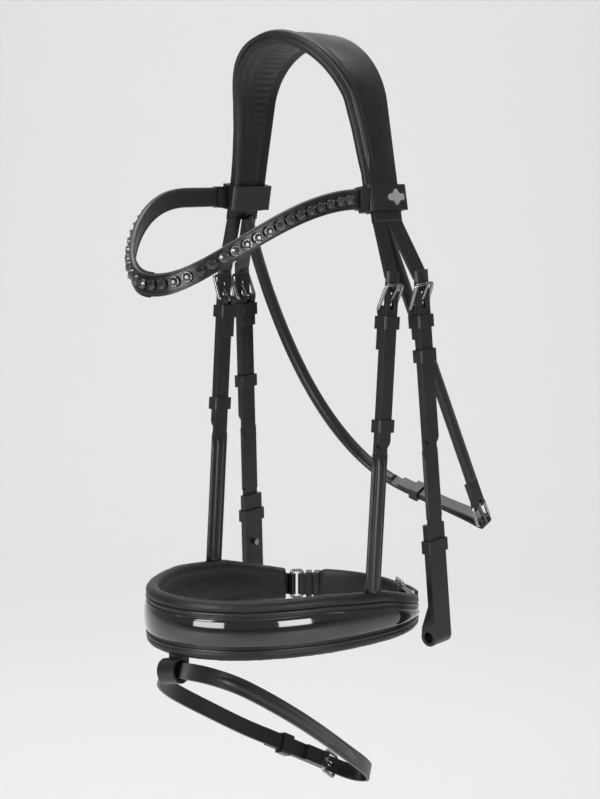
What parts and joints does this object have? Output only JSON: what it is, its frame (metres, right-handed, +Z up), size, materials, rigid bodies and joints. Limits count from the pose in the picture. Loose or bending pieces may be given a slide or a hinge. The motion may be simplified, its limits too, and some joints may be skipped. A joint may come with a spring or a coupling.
{
  "type": "snaffle bridle",
  "caption": "Black leather snaffle bridle: padded headpiece, curved jewelled browband, throatlash, buckled cheekpieces and a padded patent cavesson noseband with a flash strap.",
  "frame": {"origin": "middle of the poll seat, on the underside of the headpiece pad", "axes": "+Z up, -Y forward towards the nose, +X towards the horse's left (near) side"},
  "size_m": [0.2152, 0.307, 0.6266],
  "materials": {
    "black_leather": "smooth black bridle leather with a soft sheen",
    "padded_leather": "soft matt black lining leather over padding",
    "patent_leather": "high-gloss black patent leather",
    "dark_metal": "polished gunmetal grey steel",
    "stone_trim": "dark faceted crystals in grey metal cups",
    "badge_metal": "bright polished metal"
  },
  "bodies": {
    "headpiece": {"headpiece_leather": "black_leather", "headpiece_pad": "padded_leather"},
    "browband": {"browband_strap": "black_leather", "browband_loop_near": "black_leather", "browband_loop_far": "black_leather", "browband_sleeve_near": "black_leather", "browband_sleeve_far": "black_leather", "browband_stones": "stone_trim", "browband_badge": "badge_metal"},
    "noseband": {"near_hanger_strap": "black_leather", "near_hanger_billet_end": "black_leather", "near_hanger_buckle": "dark_metal", "near_hanger_keeper": "black_leather", "far_hanger_strap": "black_leather", "far_hanger_billet_end": "black_leather", "far_hanger_buckle": "dark_metal", "far_hanger_keeper": "black_leather", "noseband_pad": "padded_leather", "noseband_leather": "black_leather", "noseband_patent_strip": "patent_leather", "noseband_near_dee": "dark_metal", "noseband_far_dee": "dark_metal", "crank_strap": "black_leather", "crank_buckle_strap": "black_leather", "crank_buckle": "dark_metal", "crank_keepers": "black_leather", "chin_pad": "padded_leather", "flash_loop": "black_leather"},
    "near_cheekpiece": {"near_cheek_strap": "black_leather", "near_cheek_billet_end": "black_leather", "near_cheek_buckle": "dark_metal", "near_cheek_keeper": "black_leather", "near_bit_keeper": "black_leather", "near_bit_stud": "dark_metal"},
    "far_cheekpiece": {"far_cheek_strap": "black_leather", "far_cheek_billet_end": "black_leather", "far_cheek_buckle": "dark_metal", "far_cheek_keeper": "black_leather", "far_bit_keeper": "black_leather", "far_bit_stud": "dark_metal"},
    "near_hanger_tongue": {"near_hanger_tongue": "dark_metal"},
    "near_hanger_slider": {"near_hanger_slider": "black_leather"},
    "near_cheek_tongue": {"near_cheek_tongue": "dark_metal"},
    "near_cheek_slider": {"near_cheek_slider": "black_leather"},
    "far_hanger_tongue": {"far_hanger_tongue": "dark_metal"},
    "far_hanger_slider": {"far_hanger_slider": "black_leather"},
    "far_cheek_tongue": {"far_cheek_tongue": "dark_metal"},
    "far_cheek_slider": {"far_cheek_slider": "black_leather"},
    "crank_tongue": {"crank_tongue": "dark_metal"},
    "flash": {"flash_strap": "black_leather", "flash_buckle": "dark_metal"},
    "flash_tongue": {"flash_tongue": "dark_metal"},
    "flash_keeper": {"flash_keeper": "black_leather"},
    "throatlash": {"throatlash_near_strap": "black_leather", "throatlash_buckle": "dark_metal", "throatlash_long_strap": "black_leather"},
    "throatlash_tongue": {"throatlash_tongue": "dark_metal"},
    "throatlash_keeper": {"throatlash_keeper": "black_leather"}
  },
  "joints": [
    {"name": "browband_slide", "type": "slide", "parent": "headpiece", "child": "browband", "axis": [0, 0, 1], "range_m": [-0.008, 0.008]},
    {"name": "noseband_swing", "type": "hinge", "parent": "headpiece", "child": "noseband", "pos_m": [0, 0.006, -0.183], "axis": [1, 0, 0], "range_deg": [-14, 0]},
    {"name": "near_cheek_swing", "type": "hinge", "parent": "headpiece", "child": "near_cheekpiece", "pos_m": [0.098, 0.033, -0.183], "axis": [0, -0.9976, -0.0695], "range_deg": [0, 45]},
    {"name": "far_cheek_swing", "type": "hinge", "parent": "headpiece", "child": "far_cheekpiece", "pos_m": [-0.098, 0.033, -0.183], "axis": [0, 0.9976, 0.0695], "range_deg": [0, 45]},
    {"name": "near_hanger_tongue_lift", "type": "hinge", "parent": "noseband", "child": "near_hanger_tongue", "pos_m": [0.08664, 0.00433, -0.20593], "axis": [0, 0.9974, -0.0727], "range_deg": [0, 35]},
    {"name": "near_cheek_tongue_lift", "type": "hinge", "parent": "near_cheekpiece", "child": "near_cheek_tongue", "pos_m": [0.09407, 0.03461, -0.20611], "axis": [0, 0.9976, 0.0695], "range_deg": [0, 35]},
    {"name": "near_hanger_slider_slide", "type": "slide", "parent": "noseband", "child": "near_hanger_slider", "axis": [0.002, 0.0727, 0.9974], "range_m": [-0.012, 0.045]},
    {"name": "near_cheek_slider_slide", "type": "slide", "parent": "near_cheekpiece", "child": "near_cheek_slider", "axis": [-0.0382, -0.0695, 0.9969], "range_m": [-0.012, 0.007]},
    {"name": "far_hanger_tongue_lift", "type": "hinge", "parent": "noseband", "child": "far_hanger_tongue", "pos_m": [-0.08664, 0.00433, -0.20593], "axis": [0, -0.9974, 0.0727], "range_deg": [0, 35]},
    {"name": "far_cheek_tongue_lift", "type": "hinge", "parent": "far_cheekpiece", "child": "far_cheek_tongue", "pos_m": [-0.09407, 0.03461, -0.20611], "axis": [0, -0.9976, -0.0695], "range_deg": [0, 35]},
    {"name": "far_hanger_slider_slide", "type": "slide", "parent": "noseband", "child": "far_hanger_slider", "axis": [-0.002, 0.0727, 0.9974], "range_m": [-0.012, 0.045]},
    {"name": "far_cheek_slider_slide", "type": "slide", "parent": "far_cheekpiece", "child": "far_cheek_slider", "axis": [0.0382, -0.0695, 0.9969], "range_m": [-0.012, 0.042]},
    {"name": "crank_tongue_lift", "type": "hinge", "parent": "noseband", "child": "crank_tongue", "pos_m": [0.03271, 0.09084, -0.454], "axis": [0, 0, -1], "range_deg": [0, 30]},
    {"name": "flash_swing", "type": "hinge", "parent": "noseband", "child": "flash", "pos_m": [0, -0.142, -0.479], "axis": [0.9781, 0.1071, 0.1782], "range_deg": [-20, 20]},
    {"name": "flash_tongue_lift", "type": "hinge", "parent": "flash", "child": "flash_tongue", "pos_m": [-0.01365, 0.04551, -0.59505], "axis": [-0.2079, 0.5038, 0.8384], "range_deg": [0, 35]},
    {"name": "flash_keeper_slide", "type": "slide", "parent": "flash", "child": "flash_keeper", "axis": [0.1984, 0.8611, -0.4682], "range_m": [-0.012, 0.015]},
    {"name": "throatlash_swing", "type": "hinge", "parent": "headpiece", "child": "throatlash", "pos_m": [0, 0.0146, -0.138], "axis": [1, 0, 0], "range_deg": [-10, 15]},
    {"name": "throatlash_tongue_lift", "type": "hinge", "parent": "throatlash", "child": "throatlash_tongue", "pos_m": [0.08299, 0.12743, -0.37456], "axis": [0, -0.9026, -0.4305], "range_deg": [0, 60]},
    {"name": "throatlash_keeper_slide", "type": "slide", "parent": "throatlash", "child": "throatlash_keeper", "axis": [0.9451, 0.1407, -0.295], "range_m": [-0.008, 0.012]}
  ]
}
